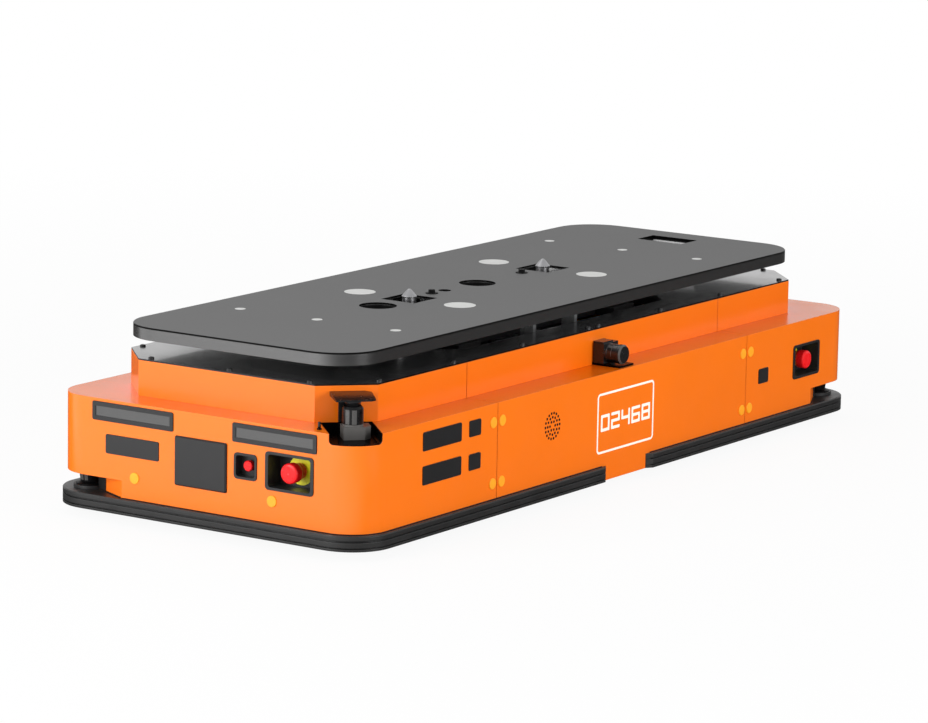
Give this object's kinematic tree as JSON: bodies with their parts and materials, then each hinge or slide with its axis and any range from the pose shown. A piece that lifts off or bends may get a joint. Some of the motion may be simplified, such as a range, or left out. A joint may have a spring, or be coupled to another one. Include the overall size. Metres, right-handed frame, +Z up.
{
  "type": "autonomous mobile robot",
  "caption": "Low rectangular mobile robot with a lifting top plate, docking pins, corner lidars, recessed emergency stops and a wrap-round rubber bumper.",
  "frame": {"origin": "on the floor, under the middle of the robot", "axes": "+X to the front end, +Y to the robot's left side, +Z up"},
  "size_m": [1.92, 0.78, 0.4025],
  "materials": {
    "orange_paint": "satin",
    "black_sheet": "gloss",
    "black_steel": "satin",
    "bumper_rubber": "matte",
    "yellow_plastic": "satin",
    "dark_panel": "satin",
    "light_lens": "gloss",
    "copper": "satin",
    "legend_yellow": "satin",
    "red_plastic": "gloss",
    "lidar_black": "gloss",
    "frame_steel": "matte",
    "zinc_steel": "brushed",
    "wheel_rubber": "matte",
    "cast_metal": "satin",
    "battery_case": "matte",
    "plate_grey": "matte",
    "pad_white": "matte"
  },
  "bodies": {
    "chassis": {"base_plate": "frame_steel", "battery_pack": "battery_case", "bumper_front": "bumper_rubber", "bumper_rear": "bumper_rubber", "cameras": "lidar_black", "caster_mounts": "frame_steel", "charging_contacts": "copper", "chassis_frame": "frame_steel", "controller_box": "battery_case", "corner_lidars": "lidar_black", "deck_cover": "black_sheet", "deck_screws": "black_steel", "drive_units": "cast_metal", "lidar_mounts": "black_steel", "lift_base": "frame_steel", "lift_drive": "cast_metal", "light_frames": "dark_panel", "light_lenses": "light_lens", "lower_cover_front": "orange_paint", "lower_cover_rear": "orange_paint", "safety_lidars": "lidar_black", "screw_caps": "yellow_plastic", "sensor_windows": "dark_panel", "service_panels": "dark_panel", "side_lidars": "lidar_black", "side_panel_left": "orange_paint", "side_panel_right": "orange_paint", "speakers": "lidar_black", "stop_collars": "legend_yellow", "switch_housings": "dark_panel", "upper_cover_front": "orange_paint", "upper_cover_rear": "orange_paint", "upper_sides": "orange_paint"},
    "lift": {"lift_plate": "plate_grey", "plate_ribs": "cast_metal", "plate_pads": "pad_white", "plate_bolts": "black_steel", "dock_pins": "zinc_steel", "lift_carriage": "cast_metal", "lift_columns": "zinc_steel"},
    "line_shaft": {"lift_shaft": "zinc_steel"},
    "screw_front": {"lift_screw_front": "zinc_steel"},
    "screw_rear": {"lift_screw_rear": "zinc_steel"},
    "wheel_left": {"drive_hub_left": "cast_metal", "drive_tyre_left": "wheel_rubber"},
    "wheel_right": {"drive_hub_right": "cast_metal", "drive_tyre_right": "wheel_rubber"},
    "reset_button": {"reset_button": "red_plastic"},
    "swivel_front_left": {"caster_fork_front_left": "zinc_steel"},
    "roller_front_left": {"caster_wheel_front_left": "wheel_rubber"},
    "swivel_front_right": {"caster_fork_front_right": "zinc_steel"},
    "roller_front_right": {"caster_wheel_front_right": "wheel_rubber"},
    "swivel_rear_left": {"caster_fork_rear_left": "zinc_steel"},
    "roller_rear_left": {"caster_wheel_rear_left": "wheel_rubber"},
    "swivel_rear_right": {"caster_fork_rear_right": "zinc_steel"},
    "roller_rear_right": {"caster_wheel_rear_right": "wheel_rubber"},
    "stop_front": {"stop_button_front": "red_plastic"},
    "stop_left": {"stop_button_left": "red_plastic"},
    "stop_rear": {"stop_button_rear": "red_plastic"},
    "stop_right": {"stop_button_right": "red_plastic"}
  },
  "joints": [
    {"name": "lift_raise", "type": "slide", "parent": "chassis", "child": "lift", "axis": [0, 0, 1], "range_m": [-0.028, 0.03]},
    {"name": "screw_turn_front", "type": "hinge", "parent": "chassis", "child": "screw_front", "pos_m": [0.15, 0, 0.28], "axis": [0, 0, 1], "range_deg": [-1082, 1010]},
    {"name": "screw_turn_rear", "type": "hinge", "parent": "chassis", "child": "screw_rear", "pos_m": [-0.15, 0, 0.28], "axis": [0, 0, 1], "range_deg": [-1082, 1010]},
    {"name": "shaft_turn", "type": "hinge", "parent": "chassis", "child": "line_shaft", "pos_m": [0, 0, 0.228], "axis": [1, 0, 0], "range_deg": [-1010, 1082]},
    {"name": "drive_left", "type": "hinge", "parent": "chassis", "child": "wheel_left", "pos_m": [0, 0.31, 0.105], "axis": [0, 1, 0], "continuous": true},
    {"name": "drive_right", "type": "hinge", "parent": "chassis", "child": "wheel_right", "pos_m": [0, -0.31, 0.105], "axis": [0, 1, 0], "continuous": true},
    {"name": "caster_swivel_front_left", "type": "hinge", "parent": "chassis", "child": "swivel_front_left", "pos_m": [0.67, 0.24, 0.1], "axis": [0, 0, 1], "continuous": true},
    {"name": "caster_roll_front_left", "type": "hinge", "parent": "swivel_front_left", "child": "roller_front_left", "pos_m": [0.635, 0.24, 0.045], "axis": [0, 1, 0], "continuous": true},
    {"name": "caster_swivel_front_right", "type": "hinge", "parent": "chassis", "child": "swivel_front_right", "pos_m": [0.67, -0.24, 0.1], "axis": [0, 0, 1], "continuous": true},
    {"name": "caster_roll_front_right", "type": "hinge", "parent": "swivel_front_right", "child": "roller_front_right", "pos_m": [0.635, -0.24, 0.045], "axis": [0, 1, 0], "continuous": true},
    {"name": "caster_swivel_rear_left", "type": "hinge", "parent": "chassis", "child": "swivel_rear_left", "pos_m": [-0.67, 0.24, 0.1], "axis": [0, 0, 1], "continuous": true},
    {"name": "caster_roll_rear_left", "type": "hinge", "parent": "swivel_rear_left", "child": "roller_rear_left", "pos_m": [-0.705, 0.24, 0.045], "axis": [0, 1, 0], "continuous": true},
    {"name": "caster_swivel_rear_right", "type": "hinge", "parent": "chassis", "child": "swivel_rear_right", "pos_m": [-0.67, -0.24, 0.1], "axis": [0, 0, 1], "continuous": true},
    {"name": "caster_roll_rear_right", "type": "hinge", "parent": "swivel_rear_right", "child": "roller_rear_right", "pos_m": [-0.705, -0.24, 0.045], "axis": [0, 1, 0], "continuous": true},
    {"name": "stop_push_front", "type": "slide", "parent": "chassis", "child": "stop_front", "axis": [-1, 0, 0], "range_m": [0, 0.0035]},
    {"name": "stop_push_left", "type": "slide", "parent": "chassis", "child": "stop_left", "axis": [0, -1, 0], "range_m": [0, 0.0035]},
    {"name": "stop_push_rear", "type": "slide", "parent": "chassis", "child": "stop_rear", "axis": [1, 0, 0], "range_m": [0, 0.0035]},
    {"name": "stop_push_right", "type": "slide", "parent": "chassis", "child": "stop_right", "axis": [0, 1, 0], "range_m": [0, 0.0035]},
    {"name": "reset_push", "type": "slide", "parent": "chassis", "child": "reset_button", "axis": [-1, 0, 0], "range_m": [0, 0.0025], "stiffness_N_per_m": 600}
  ],
  "couplings": [
    {"joint": "screw_turn_front", "follows": "lift_raise", "rad_per_m": -628.32},
    {"joint": "screw_turn_rear", "follows": "lift_raise", "rad_per_m": -628.32},
    {"joint": "shaft_turn", "follows": "lift_raise", "rad_per_m": 628.32}
  ]
}
